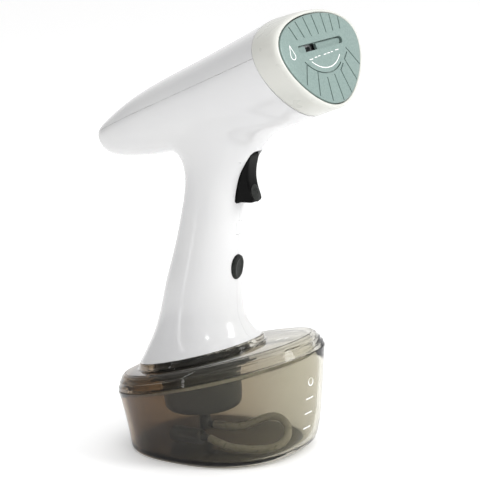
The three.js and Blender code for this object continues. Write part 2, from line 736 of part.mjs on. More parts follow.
function gripPoint(x, y, z) {
  const v = new THREE.Vector3(x, y, z).applyEuler(grip.rotation).add(grip.position);
  return [v.x, v.y, v.z];
}
add(
  "suction_pipe",
  tube([
    [WELL.x, 0, COUPLER.bottom + 38.4],
    [WELL.x, 0, COUPLER.bottom + 43],
    gripPoint(PUMP.x, 0, -6),
    gripPoint(PUMP.x, 0, PUMP.from - 6.4),
  ], 2.4, 8, 8),
  SILICONE,
);
add(
  "pressure_pipe",
  tube([
    gripPoint(PUMP.x, 0, PUMP.to + 6.4),
    gripPoint(PUMP.x + 1, 0, PUMP.to + 12),
    [7.6, 0, 170],
    [9.6, 0, 184],
    [18, 0, 200],
    [30, -1, 213],
    axisPoint(HEATER_S - 20, -2, -1.5),
    axisPoint(HEATER_S - 10.5, -2, 0),
  ], 2.2, 8, 26),
  SILICONE,
);

// ---- Trigger ----
function trigger() {
  const { pivotX, pivotZ, width, pinRadius } = TRIGGER;
  const shape = new THREE.Shape();
  shape.moveTo(40.8, 164.4);
  shape.bezierCurveTo(42.4, 164.6, 43.2, 165.6, 42.6, 167.4);
  shape.bezierCurveTo(39.5, 176, 39.7, 185, 43.2, 193.8);
  shape.bezierCurveTo(43.6, 195, 43, 195.8, 41.8, 195.8);
  shape.lineTo(35.2, 195.6);
  shape.lineTo(31.4, 188);
  shape.lineTo(27.6, 178);
  shape.lineTo(25.8, 167);
  shape.lineTo(30, 164.4);
  const pad = new THREE.ExtrudeGeometry(shape, {
    depth: width - 2,
    curveSegments: 8,
    bevelThickness: 1,
    bevelSize: 1,
    bevelOffset: -1,
    bevelSegments: 2,
  });
  // Drawn in X and Z, pushed out along Y.
  pad.rotateX(Math.PI / 2).translate(0, width / 2 - 1, 0);
  const bore = rod(pinRadius + GAP, 30, "y", 14).translate(pivotX, 0, pivotZ);
  const springWell = rod(4.4, 5.4, "y", 16).translate(pivotX, 0, pivotZ);
  const relief = block(14, 5.4, 6, pivotX - 7, 0, pivotZ);
  let body = solid(pad);
  for (const cut of [bore, springWell, relief]) body = body.subtract(solid(cut));
  return faceted(body);
}
add("trigger", trigger(), BLACK_ABS);
add("trigger_pin", rod(TRIGGER.pinRadius, 19.6, "y", 14), STEEL).position.set(
  TRIGGER.pivotX, 0, TRIGGER.pivotZ,
);

function triggerSpring() {
  const turns = 3;
  const coil = 2.9; // radius of the wire's middle line
  const pitch = 1.35;
  const points = [];
  for (let i = 0; i <= turns * 10; i++) {
    const a = (2 * Math.PI * i) / 10;
    points.push([coil * Math.cos(a), (i / 10 - turns / 2) * pitch, coil * Math.sin(a)]);
  }
  return tube(points, 0.5, 6, turns * 12);
}
add("trigger_spring", triggerSpring(), STEEL).position.set(TRIGGER.pivotX, 0, TRIGGER.pivotZ);

function microswitch() {
  const body = solid(block(6.4, 8, 15, 17, 0, 177));
  const lever = solid(block(1.2, 4, 12, 20.8, 0, 177)).add(solid(block(2.4, 4, 2, 20.2, 0, 182)));
  return faceted(body.add(lever));
}
add("trigger_switch", microswitch(), BLACK_ABS);

// ---- Power button ----
const buttonSeat = new THREE.Group();
buttonSeat.position.set(BUTTON.x, 0, BUTTON.z);
buttonSeat.rotation.y = rad(BUTTON.leanDeg);
root.add(buttonSeat);

function powerButton() {
  const cap = solid(
    skin([[-5, 0], [BUTTON.proud - 0.7, 0], [BUTTON.proud, -1]].map(([x, extra]) =>
      outline(BUTTON.wide / 2 + extra, BUTTON.tall / 2 + extra, 2.2, 18).map(
        ([u, v]) => new THREE.Vector3(x, u, v),
      ),
    )),
  );
  const flange = solid(block(1.4, BUTTON.wide + 2, BUTTON.tall + 2, -5.6, 0, 0));
  const stem = solid(block(4, 3, 3, -7.8, 0, 0));
  return faceted(cap.add(flange).add(stem));
}
add("power_button", powerButton(), GREY_ABS, buttonSeat);
add("power_switch", block(6, 9, 12, -14.6, 0, 0), BLACK_ABS, buttonSeat);
add("indicator_lens", lensBlock(0), LENS);

export default root;
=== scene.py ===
import bpy
import bmesh
import json
import math
from mathutils import Matrix, Vector


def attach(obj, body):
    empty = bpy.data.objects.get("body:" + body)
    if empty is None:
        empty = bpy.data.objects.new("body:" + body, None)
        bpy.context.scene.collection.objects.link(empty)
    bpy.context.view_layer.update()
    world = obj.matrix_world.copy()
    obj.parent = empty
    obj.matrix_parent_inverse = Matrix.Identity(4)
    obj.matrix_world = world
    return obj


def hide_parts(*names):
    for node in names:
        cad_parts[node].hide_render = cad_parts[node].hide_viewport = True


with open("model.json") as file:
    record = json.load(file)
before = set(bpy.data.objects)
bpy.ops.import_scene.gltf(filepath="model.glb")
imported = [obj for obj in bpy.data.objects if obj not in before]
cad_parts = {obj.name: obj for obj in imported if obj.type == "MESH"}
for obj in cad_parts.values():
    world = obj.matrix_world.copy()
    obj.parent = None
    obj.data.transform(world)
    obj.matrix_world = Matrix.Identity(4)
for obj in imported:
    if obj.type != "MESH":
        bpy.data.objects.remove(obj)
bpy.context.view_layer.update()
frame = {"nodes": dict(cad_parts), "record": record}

mm = 0.001
slope = 0.24  # rise of the lid's planes per unit forward
nodes = frame["nodes"]


# small tools that every piece uses
def deselect():
    if bpy.context.object and bpy.context.object.mode != "OBJECT":
        bpy.ops.object.mode_set(mode="OBJECT")
    bpy.ops.object.select_all(action="DESELECT")


def makeActive(piece):
    deselect()
    piece.select_set(True)
    bpy.context.view_layer.objects.active = piece


def tableAt(rows, t):
    # smooth value of a table of rows at place t, where 0 is the first row and 1 the last
    place = min(max(t, 0.0), 1.0) * (len(rows) - 1)
    i = min(int(place), len(rows) - 2)
    f = place - i
    a, b, c, d = (rows[max(0, min(len(rows) - 1, i + k))] for k in (-1, 0, 1, 2))
    return [
        0.5 * (2 * q + (r - p) * f + (2 * p - 5 * q + 4 * r - s) * f**2 + (3 * q - p - 3 * r + s) * f**3)
        for p, q, r, s in zip(a, b, c, d)
    ]


def oval(half, wide, power, count, egg=0.0):
    # points of a superellipse; egg widens it towards its second axis
    points = []
    for i in range(count):
        a = 2 * math.pi * i / count
        c, s = math.cos(a), math.sin(a)
        v = wide * math.copysign(abs(s) ** (2 / power), s)
        u = half * math.copysign(abs(c) ** (2 / power), c)
        points.append((u * (1 + egg * v / wide), v))
    return points


def sweep(name, rings, loop=False):
    # a circle extruded ring by ring, each ring set to its own outline; ends capped, or joined when loop
    deselect()
    count = len(rings[0])
    bpy.ops.mesh.primitive_circle_add(vertices=count, radius=rings[0][0].length or 1)
    piece = bpy.context.object
    piece.name = piece.data.name = name
    bpy.ops.object.mode_set(mode="EDIT")
    for k, ring in enumerate(rings):
        if k:
            bpy.ops.mesh.extrude_region_move()
        mesh = bmesh.from_edit_mesh(piece.data)
        mesh.verts.ensure_lookup_table()
        for vert, place in zip(mesh.verts[k * count:], ring):
            vert.co = Vector(place) * mm
        bmesh.update_edit_mesh(piece.data)
    mesh = bmesh.from_edit_mesh(piece.data)
    mesh.verts.ensure_lookup_table()
    ends = (range(count), range(count * (len(rings) - 1), count * len(rings)))
    for group in ([list(ends[0]) + list(ends[1])] if loop else ends):
        mesh = bmesh.from_edit_mesh(piece.data)
        mesh.verts.ensure_lookup_table()
        chosen = set(group)
        bpy.ops.mesh.select_all(action="DESELECT")
        for edge in mesh.edges:
            a, b = edge.verts
            if a.index in chosen and b.index in chosen and len(edge.link_faces) == 1:
                edge.select_set(True)
        bmesh.update_edit_mesh(piece.data)
        if loop:
            bpy.ops.mesh.bridge_edge_loops()
        else:
            bpy.ops.mesh.edge_face_add()
    bpy.ops.mesh.select_all(action="SELECT")
    bpy.ops.mesh.normals_make_consistent(inside=False)
    bpy.ops.object.mode_set(mode="OBJECT")
    piece.matrix_world = Matrix.Identity(4)
    return piece


def modify(piece, kind, **settings):
    makeActive(piece)
    modifier = piece.modifiers.new(kind.title(), kind)
    for key, value in settings.items():
        setattr(modifier, key, value)
    bpy.ops.object.modifier_apply(modifier=modifier.name)


def smooth(piece, degrees):
    makeActive(piece)
    bpy.ops.object.shade_smooth_by_angle(angle=math.radians(degrees))


def copyOf(piece, name):
    twin = piece.copy()
    twin.data = piece.data.copy()
    twin.name = twin.data.name = name
    bpy.context.collection.objects.link(twin)
    return twin


def sliceOff(piece, point, normal):
    # keeps what lies on the far side of the plane from its normal
    makeActive(piece)
    bpy.ops.object.mode_set(mode="EDIT")
    bpy.ops.mesh.select_all(action="SELECT")
    bpy.ops.mesh.bisect(plane_co=[c * mm for c in point], plane_no=normal, clear_outer=True)
    bpy.ops.object.mode_set(mode="OBJECT")


def cut(piece, cutter, overlapping=False):
    # overlapping is for a cutter whose own parts run into each other
    modify(piece, "BOOLEAN", operation="DIFFERENCE", object=cutter, solver="EXACT", use_self=overlapping)


def remove(*pieces):
    for piece in pieces:
        bpy.data.objects.remove(piece, do_unlink=True)


def bar(size, place, turn=None, bevel=0.0, segments=3):
    # a box with rounded edges, its place and turn put into its mesh
    deselect()
    bpy.ops.mesh.primitive_cube_add(size=1)
    piece = bpy.context.object
    bpy.ops.object.mode_set(mode="EDIT")
    bpy.ops.transform.resize(value=[c * mm for c in size])
    if bevel:
        bpy.ops.mesh.bevel(offset=bevel * mm, segments=segments, affect="EDGES")
    bpy.ops.object.mode_set(mode="OBJECT")
    piece.data.transform(turn or Matrix.Identity(4))
    piece.data.transform(Matrix.Translation(Vector(place) * mm))
    return piece


def rod(radius, length, place, turn):
    deselect()
    bpy.ops.mesh.primitive_cylinder_add(vertices=48, radius=radius * mm, depth=length * mm)
    piece = bpy.context.object
    piece.data.transform(turn)
    piece.data.transform(Matrix.Translation(Vector(place) * mm))
    return piece


def joined(name, parts):
    deselect()
    for part in parts:
        part.select_set(True)
    bpy.context.view_layer.objects.active = parts[0]
    if len(parts) > 1:
        bpy.ops.object.join()
    piece = bpy.context.object
    piece.name = piece.data.name = name
    return piece


def dress(piece, material, body, slot=None, *stands):
    piece.data.materials.clear()
    piece.data.materials.append(material)
    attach(piece, body)
    if stands:
        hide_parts(*stands)
    return piece


camera = {
    "aim": (34.2, -9.8, 141.6), "azimuth": 36.83, "height": 12.92,
    "distance": 1200, "roll": -4.4, "lens": 143.9,
}


def addCamera():
    a, e = math.radians(camera["azimuth"]), math.radians(camera["height"])
    back = Vector((math.sin(a) * math.cos(e), -math.cos(a) * math.cos(e), math.sin(e)))
    data = bpy.data.cameras.new("camera")
    data.lens = camera["lens"]
    data.sensor_width = 36
    data.clip_end = 20
    eye = bpy.data.objects.new("camera", data)
    bpy.context.collection.objects.link(eye)
    eye.location = (Vector(camera["aim"]) + back * camera["distance"]) * mm
    roll = Matrix.Rotation(math.radians(camera["roll"]), 4, "Z")
    turn = (-back).to_track_quat("-Z", "Y").to_matrix().to_4x4() @ roll
    eye.rotation_mode = "QUATERNION"
    eye.rotation_quaternion = turn.to_quaternion()
    bpy.context.scene.camera = eye


addCamera()
print("camera placed")


def linear(code):
    # hex colour to linear light
    channels = [int(code[i:i + 2], 16) / 255 for i in (1, 3, 5)]
    return [c / 12.92 if c <= 0.04045 else ((c + 0.055) / 1.055) ** 2.4 for c in channels] + [1]


def addNode(tree, kind, settings=None, inputs=None, links=None):
    item = tree.nodes.new(kind)
    for key, value in (settings or {}).items():
        setattr(item, key, value)
    for key, value in (inputs or {}).items():
        item.inputs[key].default_value = value
    for key, source in (links or {}).items():
        tree.links.new(source, item.inputs[key])
    return item


def newMaterial(name, **shader):
    material = bpy.data.materials.new(name)
    material.use_nodes = True
    main = material.node_tree.nodes["Principled BSDF"]
    for key, value in shader.items():
        main.inputs[key.replace("_", " ")].default_value = value
    return material, material.node_tree, main


mottle = {"detail": 2.0, "from": 0.35, "to": 0.65}


def mottled(tree, low, high, size):
    # colour or value that wanders between two limits; size is the mottle's width in millimetres
    place = addNode(tree, "ShaderNodeTexCoord")
    noise = addNode(tree, "ShaderNodeTexNoise", inputs={"Scale": 1 / (size * mm), "Detail": mottle["detail"]},
                    links={"Vector": place.outputs["Object"]})
    if isinstance(low, str):
        ramp = addNode(tree, "ShaderNodeValToRGB", links={"Fac": noise.outputs["Fac"]})
        first, last = ramp.color_ramp.elements
        first.position, last.position = mottle["from"], mottle["to"]
        first.color, last.color = linear(low), linear(high)
        return ramp.outputs["Color"]
    limits = {"From Min": mottle["from"], "From Max": mottle["to"], "To Min": low, "To Max": high}
    spread = addNode(tree, "ShaderNodeMapRange", inputs=limits, links={"Value": noise.outputs["Fac"]})
    return spread.outputs["Result"]


def grained(tree, main, size, depth):
    # fine relief: size is the grain's width, depth its height, both in millimetres
    place = addNode(tree, "ShaderNodeTexCoord")
    noise = addNode(tree, "ShaderNodeTexNoise", inputs={"Scale": 1 / (size * mm), "Detail": mottle["detail"]},
                    links={"Vector": place.outputs["Object"]})
    bump = addNode(tree, "ShaderNodeBump", inputs={"Strength": 0.6, "Distance": depth * mm},
                   links={"Height": noise.outputs["Fac"]})
    tree.links.new(bump.outputs["Normal"], main.inputs["Normal"])


def plainPlastic(name, low, high, rough, size=6.0, grain=0.25, depth=0.004, **shader):
    material, tree, main = newMaterial(name, **shader)
    tree.links.new(mottled(tree, low, high, size), main.inputs["Base Color"])
    tree.links.new(mottled(tree, rough - 0.03, rough + 0.03, size * 0.6), main.inputs["Roughness"])
    grained(tree, main, grain, depth)
    return material


# gloss ABS from a polished mould: near white, tight reflections with a faint ripple
glossAbs = plainPlastic("gloss_abs", "#d0d0d1", "#d3d3d3", 0.16, size=60, grain=9.0, depth=0.003, IOR=1.54)
# heat-resistant polypropylene: warm ivory and satin
ivoryPp = plainPlastic("ivory_pp", "#c4c5bf", "#c8c8c2", 0.3, size=25, grain=0.3, depth=0.0015, IOR=1.49)
# ceramic-coated aluminium: sage green, satin, a very fine sprayed grain
sagePlate = plainPlastic("sage_coated_aluminium", "#768985", "#80928d", 0.4,
                         size=1.2, grain=0.35, depth=0.012, Metallic=0.2)
# spark-eroded ABS: dark grey with a dull fine grain
greyAbs = plainPlastic("grey_abs", "#2c2c2a", "#343431", 0.48, size=2, grain=0.5, depth=0.05, IOR=1.54)
# black ABS, semi-gloss from handling
blackAbs = plainPlastic("black_abs", "#030303", "#060606", 0.2, size=4, grain=0.4, depth=0.003,
                        IOR=1.54, Specular_IOR_Level=0.07)
# the same black ABS with a spark-eroded grain that reads dark grey
padAbs = plainPlastic("textured_black_abs", "#191b19", "#232523", 0.42, size=1.5, grain=0.4, depth=0.03,
                      IOR=1.54, Specular_IOR_Level=0.15)
# natural rubber: black and matt
blackRubber = plainPlastic("black_rubber", "#161616", "#1f1f1e", 0.75, size=2, grain=0.3, depth=0.01)
# filled rubber of the sole: mid grey and matt
soleRubber = plainPlastic("grey_rubber", "#8b8981", "#949289", 0.75, size=2, grain=0.3, depth=0.01)
# nickel-plated steel
platedSteel = plainPlastic("plated_steel", "#b4b6b8", "#c2c3c4", 0.28, size=2, grain=0.5, depth=0.002,
                           Metallic=1.0)
# die-cast aluminium with a sandy skin
castAluminium = plainPlastic("cast_aluminium", "#9fa1a3", "#afb0b1", 0.55, size=1.5, grain=0.5, depth=0.03,
                             Metallic=1.0)
# turned brass
turnedBrass = plainPlastic("turned_brass", "#b08d4f", "#bd9a5c", 0.3, size=2, grain=0.4, depth=0.003,
                           Metallic=1.0)
# solder-mask green laminate
greenBoard = plainPlastic("green_laminate", "#1d5a33", "#23653b", 0.35, size=3, grain=0.8, depth=0.01)
# cured silicone: milky, slightly clear
siliconeClear = plainPlastic("clear_silicone", "#aaa698", "#b4b0a3", 0.3, size=4, grain=1.0, depth=0.004,
                             Transmission_Weight=0.2, IOR=1.41)
# white silk-screen ink
whiteInk = plainPlastic("white_ink", "#f4f4f2", "#fbfbfa", 0.5, size=1, grain=0.2, depth=0.002)
# clear polycarbonate over a pale light guide
paleLens = plainPlastic("pale_polycarbonate", "#e2e4e4", "#e8e9e9", 0.15, size=4, grain=1, depth=0.001,
                        IOR=1.585)


# smoke-brown tint of each clear moulding, painted darker at the rear as shade and paler at the front as light
smoke = {
    "tank": {"rear": "#74593c", "front": "#cfccbf", "from": -78, "to": 60},
    "lid": {"rear": "#624e37", "front": "#dddbd2", "from": -70, "to": 48},
}


def smokedPlastic(name, tintAndShade):
    # clear copolyester tinted smoke brown under a glossy skin; the tint is painted darker towards the rear as
    # shade and paler towards the front as light
    material, tree, main = newMaterial(name, Transmission_Weight=1.0, IOR=1.12,
                                       Coat_Weight=0.4, Coat_Roughness=0.03, Coat_IOR=1.5)
    place = addNode(tree, "ShaderNodeTexCoord")
    along = addNode(tree, "ShaderNodeSeparateXYZ", links={"Vector": place.outputs["Object"]})
    share = addNode(tree, "ShaderNodeMapRange", {"interpolation_type": "SMOOTHSTEP"},
                    {"From Min": tintAndShade["from"] * mm, "From Max": tintAndShade["to"] * mm},
                    {"Value": along.outputs["X"]})
    # ramp from painted shade at the rear to painted light at the front
    ramp = addNode(tree, "ShaderNodeValToRGB", links={"Fac": share.outputs["Result"]})
    ramp.color_ramp.elements[0].color = linear(tintAndShade["rear"])
    ramp.color_ramp.elements[1].color = linear(tintAndShade["front"])
    tree.links.new(ramp.outputs["Color"], main.inputs["Base Color"])
    tree.links.new(mottled(tree, 0.02, 0.05, 15), main.inputs["Roughness"])
    return material


smokedTank = smokedPlastic("smoked_copolyester", smoke["tank"])
smokedLid = smokedPlastic("smoked_lid_copolyester", smoke["lid"])
print("materials mixed")


studio = {
    "floor": 8.0, "glow": 0.14, "ambient": 1.0, "aim": (0, 0, 0.14),
    # the dim side: its strength, direction and where it starts and is full
    "shade": 0.3, "shadeFrom": (-0.82, -0.55, 0.12), "shadeSpan": (0.2, 0.85),
    # name: place in metres, width, height, watts
    "lamps": {
        "keyLight": ((1.1, 0.15, 0.75), 0.35, 0.7, 8.0),
        "topLight": ((0.1, 0.2, 1.7), 1.2, 1.2, 5.0),
        "stripLight": ((-0.75, -1.0, 0.45), 0.05, 1.1, 1.2),
        "smallLight": ((0.55, -1.25, 0.95), 0.06, 0.06, 1.6),
    },
}


def addStudio():
    deselect()
    bpy.ops.mesh.primitive_plane_add(size=studio["floor"])
    floor = bpy.context.object
    floor.name = "floor"
    # painted board, almost white; its faint glow keeps it as pale as a lit backdrop
    paint = newMaterial("pale_floor", Base_Color=linear("#fdfdfd"), Roughness=0.8,
                        Emission_Color=(1, 1, 1, 1), Emission_Strength=studio["glow"])[0]
    floor.data.materials.append(paint)
    # white all round but for a dim side, as in a studio with one wall left dark
    world = bpy.data.worlds.new("studio")
    bpy.context.scene.world = world
    world.use_nodes = True
    tree = world.node_tree
    sky = tree.nodes["Background"]
    sky.inputs["Color"].default_value = (1, 1, 1, 1)
    place = addNode(tree, "ShaderNodeTexCoord")
    facing = addNode(tree, "ShaderNodeVectorMath", {"operation": "DOT_PRODUCT"},
                     {1: studio["shadeFrom"]}, {0: place.outputs["Generated"]})
    start, full = studio["shadeSpan"]
    limits = {"From Min": start, "From Max": full, "To Min": studio["ambient"], "To Max": studio["shade"]}
    level = addNode(tree, "ShaderNodeMapRange", {"interpolation_type": "SMOOTHSTEP"}, limits,
                    {"Value": facing.outputs["Value"]})
    tree.links.new(level.outputs["Result"], sky.inputs["Strength"])
    for name, (spot, wide, tall, power) in studio["lamps"].items():
        data = bpy.data.lights.new(name, "AREA")
        data.shape = "RECTANGLE"
        data.size, data.size_y, data.energy = wide, tall, power
        lamp = bpy.data.objects.new(name, data)
        bpy.context.collection.objects.link(lamp)
        lamp.location = spot
        lamp.rotation_euler = (Vector(studio["aim"]) - Vector(spot)).to_track_quat("-Z", "Y").to_euler()
    bpy.context.scene.view_settings.view_transform = "Standard"


addStudio()
print("studio lit")


tank = {
    "seamZ": 52, "seamGap": 0.15, "wall": 2.6, "foot": 0.9, "count": 96,
    # share of the height, rear end, front end, half-width, squareness of the outline
    "rows": ((0, -60.4, 54, 46.4, 2.45), (0.03, -61.8, 60.2, 47.8, 2.4), (0.1, -62.4, 64.6, 48.8, 2.35),
             (0.3, -64.0, 68.8, 50.6, 2.25), (0.65, -67.4, 73.2, 53.4, 2.1), (1, -71.1, 76.9, 56.5, 2.0)),
}


def tankRing(row, inset, lift):
    share, rear, front, wide, power = row
    middle = (front + rear) / 2
    ring = []
    for u, v in oval((front - rear) / 2 - inset, wide - inset, power, tank["count"]):
        x = middle + u
        ring.append(Vector((x, v, share * (tank["seamZ"] - tank["seamGap"] + slope * x) + lift)))
    return ring


def makeTank():
    wall, foot = tank["wall"], tank["foot"]
    places = [0, 0.06, 0.12, 0.2, 0.28, 0.36, 0.46, 0.56, 0.66, 0.78, 0.9, 1]
    rows = [tableAt(tank["rows"], t) for t in places]
    ground = [0, *rows[0][1:]]
    outer = [tankRing(ground, 3.0, foot), tankRing(ground, 1.2, foot + 0.05)]
    outer += [tankRing(row, 0, foot * (1 - row[0]) + 0.35 * (row[0] == 0)) for row in rows[:-1]]
    outer += [tankRing(rows[-1], 0, -0.4), tankRing(rows[-1], 0.4, 0)]
    inner = [tankRing(rows[-1], wall - 0.4, 0), tankRing(rows[-1], wall, -0.4)]
    inner += [tankRing(row, wall, (foot + wall) * (1 - row[0])) for row in reversed(rows[1:-1])]
    inner += [tankRing(ground, wall + 1.2, foot + wall + 0.5), tankRing(ground, wall + 4, foot + wall)]
    piece = sweep("smoked_tank", outer + inner)
    smooth(piece, 40)
    return dress(piece, smokedTank, "tank", "smoked_plastic", "tank_body")


makeTank()


def flatRing(half, wide, x, z, power, count=96, tilt=0.0):
    return [Vector((x + u, v, z + tilt * (x + u))) for u, v in oval(half, wide, power, count)]


sole = {
    "half": 56.6, "wide": 45.8, "x": -3.2, "power": 2.45,
    # inset and height, from the ground up
    "edge": ((3, 0.0), (0.7, 0.0), (0.2, 0.12), (0, 0.3), (0, 0.6), (3, 0.6)),
}


def makeSole():
    half, wide, x, power = (sole[key] for key in ("half", "wide", "x", "power"))
    rings = [flatRing(half - inset, wide - inset, x, z, power) for inset, z in sole["edge"]]
    piece = sweep("non_slip_sole", rings)
    smooth(piece, 40)
    return dress(piece, soleRubber, "tank", "rubber", "base_pad")


makeSole()

lid = {
    # half-length, half-width, middle and height of each outline
    "seam": (74, 56.5, 2.9, 52.15), "top": (69.4, 52.3, 1.5, 61.5), "collar": (43, 36, -11.5, 66.5),
    "hole": (34, 30.5), "wall": 2.4, "ridge": 0.55, "crown": 0.9,
}


def makeLid():
    ridge, wall = lid["ridge"], lid["wall"]
    cHalf, cWide, cX, cZ = lid["collar"]
    deck = lid["top"][3] + lid["crown"]

    def band(share, out=0.0, rise=0.0):
        a, b = lid["seam"], lid["top"]
        half, wide, x, z = (p + (q - p) * share for p, q in zip(a, b))
        return flatRing(half + out, wide + out, x, z + rise, 2.0, tilt=slope)

    def collar(out, z):
        return flatRing(cHalf + out, cWide + out, cX, z, 2.0, tilt=slope)

    def spigot(inset, z):
        half, wide, x, _ = lid["seam"]
        return flatRing(half - inset, wide - inset, x, z, 2.0, tilt=slope)

    hole = [flatRing(*lid["hole"], cX, z, 2.0, tilt=slope) for z in (cZ, deck - wall - 0.3)]
    rings = [
        band(0, -0.35), band(0.03, 0), band(0.2), band(0.24, ridge), band(0.3, ridge), band(0.34),
        band(0.52), band(0.56, ridge), band(0.62, ridge), band(0.66), band(0.9), band(0.97, -0.25, 0.05),
        band(1, -0.9, 0.15), band(1, -1.7, 0.55), band(1, -1.9, 0.25),
        band(1, -2.3, 0.25), band(1, -2.5, 0.75), band(1, -5, 0.9),
        collar(3.2, deck), collar(1.9, deck), collar(1.35, deck + 0.35), collar(1.1, deck + 1.4),
        collar(0.8, cZ - 0.5), collar(0.4, cZ - 0.1), collar(-0.4, cZ), *hole,
        band(1, -6 - wall, 0.9 - wall), band(1, -3 - wall, 0.5 - wall), band(0.8, -1 - wall, -wall),
        spigot(7.2, 55), spigot(7.2, 48.8), spigot(6.8, 48.4),
        spigot(5.6, 48.4), spigot(5.2, 48.8), spigot(5.2, 52.15),
    ]
    piece = sweep("smoked_lid", rings, loop=True)
    smooth(piece, 38)
    return dress(piece, smokedLid, "lid", "smoked_plastic", "tank_lid")


makeLid()

well = {"x": -13, "radius": 25.5, "floor": 24.5, "wall": 1.8, "count": 72}


def makeWell():
    def ring(radius, z, stretch=1.0, tilt=0.0, x=well["x"]):
        return flatRing(radius * stretch, radius, x, z, 2, well["count"], tilt)

    r, low, wall, up = well["radius"], well["floor"], well["wall"], lid["top"][3] - lid["wall"]
    rings = [
        # up the outside of the cup and round its flange
        ring(r - 4.5, low), ring(r - 2.6, low + 0.35), ring(r - 1.2, low + 1.4), ring(r - 0.4, low + 3),
        ring(r, low + 6), ring(r + 0.7, low + 13), ring(r + 1.4, low + 20),
        ring(r + 2.0, 51, 1.03, slope * 0.7, -13), ring(r + 2.4, up - 3.5, 1.06, slope, -12.6),
        ring(r + 7, up - 2.9, 1.1, slope, -12), ring(r + 7, up - 0.5, 1.1, slope, -12),
        # the lip, then down the inside to its floor
        ring(r + 3.2, up - 0.4, 1.08, slope, -12.2), ring(r + 2.8, 63.2, 1.08, slope, -12.2),
        ring(r + 2.4, 63.6, 1.08, slope, -12.2), ring(r + 1.2, 63.6, 1.08, slope, -12.2),
        ring(r + 0.6, up - 3.5, 1.06, slope, -12.6), ring(r - 0.4, low + 20),
        ring(r - wall, low + 6 + wall), ring(r - 1 - wall, low + 2 + wall), ring(r - 3.5 - wall, low + wall),
    ]
    piece = sweep("docking_cup", rings)
    smooth(piece, 40)
    return dress(piece, greyAbs, "lid", "grey_abs", "docking_well")


makeWell()

hose = {
    "radius": 2.5, "slack": 1.005,  # the smooth curve's length over that of its chords
    "route": ((-5.4, 0, 12), (2, 0, 12), (10, 0.2, 12.2), (18, 0.8, 13.8), (25.5, 2.2, 17.2),
              (33, 4, 20.4), (40.5, 5.2, 21.9), (48, 4.4, 19.8), (53, 0.6, 15), (53.4, -5.4, 10.2),
              (49, -11.6, 7.4), (41, -16.4, 6.5), (31, -19.2, 6.4), (20, -20, 6.8), (10, -18.9, 8.2),
              (4, -17.6, 9.2)),
}


def makeHose():
    data = bpy.data.curves.new("suction_hose_tube", "CURVE")
    data.dimensions = "3D"
    line = data.splines.new("BEZIER")
    line.bezier_points.add(len(hose["route"]) - 1)
    for point, place in zip(line.bezier_points, hose["route"]):
        point.co = Vector(place) * mm
        point.handle_left_type = point.handle_right_type = "AUTO"
    line.resolution_u = 12
    data.bevel_depth = hose["radius"] * mm
    data.bevel_resolution = 6
    data.use_fill_caps = True
    piece = bpy.data.objects.new("suction_hose_tube", data)
    bpy.context.collection.objects.link(piece)
    bpy.context.view_layer.update()
    steps = zip(hose["route"], hose["route"][1:])
    length = sum((Vector(b) - Vector(a)).length for a, b in steps) * mm * hose["slack"]
    data.materials.append(siliconeClear)
    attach(piece, "lid")
    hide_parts("suction_hose")


makeHose()
print("tank, lid and hose made")


pitch = math.radians(20)
face = {"x": 100.7, "z": 255.9, "half": 38.5, "tall": 28, "egg": 0.3, "count": 120}
headFrame = Matrix.Translation((face["x"] * mm, 0, face["z"] * mm)) @ Matrix.Rotation(-pitch, 4, "Y")
body = {
    # along the barrel from the steam face: distance, height above the axis, depth below, half-width
    "barrel": ((-19, 33.2, 30.4, 41.6), (-45, 31.2, 28.6, 38.0), (-82, 28.9, 25.2, 34.0),
               (-115, 27.2, 20.5, 30.4), (-140, 24.9, 16.2, 26.4), (-158, 21.6, 12.0, 22.2),
               (-171, 18.7, 8.2, 17.6), (-180, 16.4, 4.2, 12.6), (-184, 14.0, -1.4, 7.6)),
    # up the grip: height, middle, half-length, half-width, slope of the section
    "grip": ((64.0, -11.5, 43.0, 36.0, 0.24), (69.0, -10.7, 38.6, 32.4, 0.17), (78.0, -8.9, 33.2, 28.0, 0.07),
             (91.0, -7.7, 28.5, 24.2, 0), (110.0, -4.1, 26.0, 22.1, 0), (134.0, 1.9, 22.9, 19.5, 0),
             (154.0, 6.8, 21.3, 18.0, 0), (170.0, 10.8, 20.8, 17.6, 0), (182.0, 13.6, 22.2, 18.0, 0),
             (191.0, 15.6, 26.2, 19.4, 0), (198.0, 16.0, 32.0, 21.4, 0), (206.0, 17.0, 39.0, 23.8, 0),
             (213.0, 24.0, 48.0, 26.5, 0), (217.0, 31.0, 53.0, 28.5, 0), (222.0, 35.0, 54.0, 29.0, 0)),
    "barrelSteps": 48, "gripSteps": 52, "voxel": 1.1, "wall": 2.2, "parting": 13.0, "gap": 0.16,
    "front": -18.8, "foot": 66.76, "count": 96,
}


def headPoint(s, u, v):
    return headFrame @ (Vector((s, u, v)) * mm) / mm


def barrelVolume():
    rings = []
    steps = body["barrelSteps"]
    for k in range(steps + 1):
        t = k / steps
        s, top, depth, half = tableAt(body["barrel"], t)
        middle, tall = (top - depth) / 2, (top + depth) / 2
        outline = oval(half, tall, 2.15, body["count"], 0.28 - 0.18 * t)
        ring = [headPoint(s, u, middle + v) for u, v in outline]
        if k == 0:
            rings.append([p + Vector((math.cos(pitch), 0, math.sin(pitch))) * 5 for p in ring])
        rings.append(ring)
    return sweep("barrel_volume", rings)


def gripVolume():
    rings = []
    steps = body["gripSteps"]
    for k in range(steps + 1):
        z, x, half, wide, tilt = tableAt(body["grip"], k / steps)
        ring = [Vector((x + u, v, z + tilt * u)) for u, v in oval(half, wide, 2.08, body["count"])]
        if k == 0:
            rings.append([p - Vector((0, 0, 4)) for p in ring])
        rings.append(ring)
    return sweep("grip_volume", rings)


joint = {"depth": 14, "fall": 14 / 130, "tail": -150, "head": -21, "reach": 17, "rounds": 160}


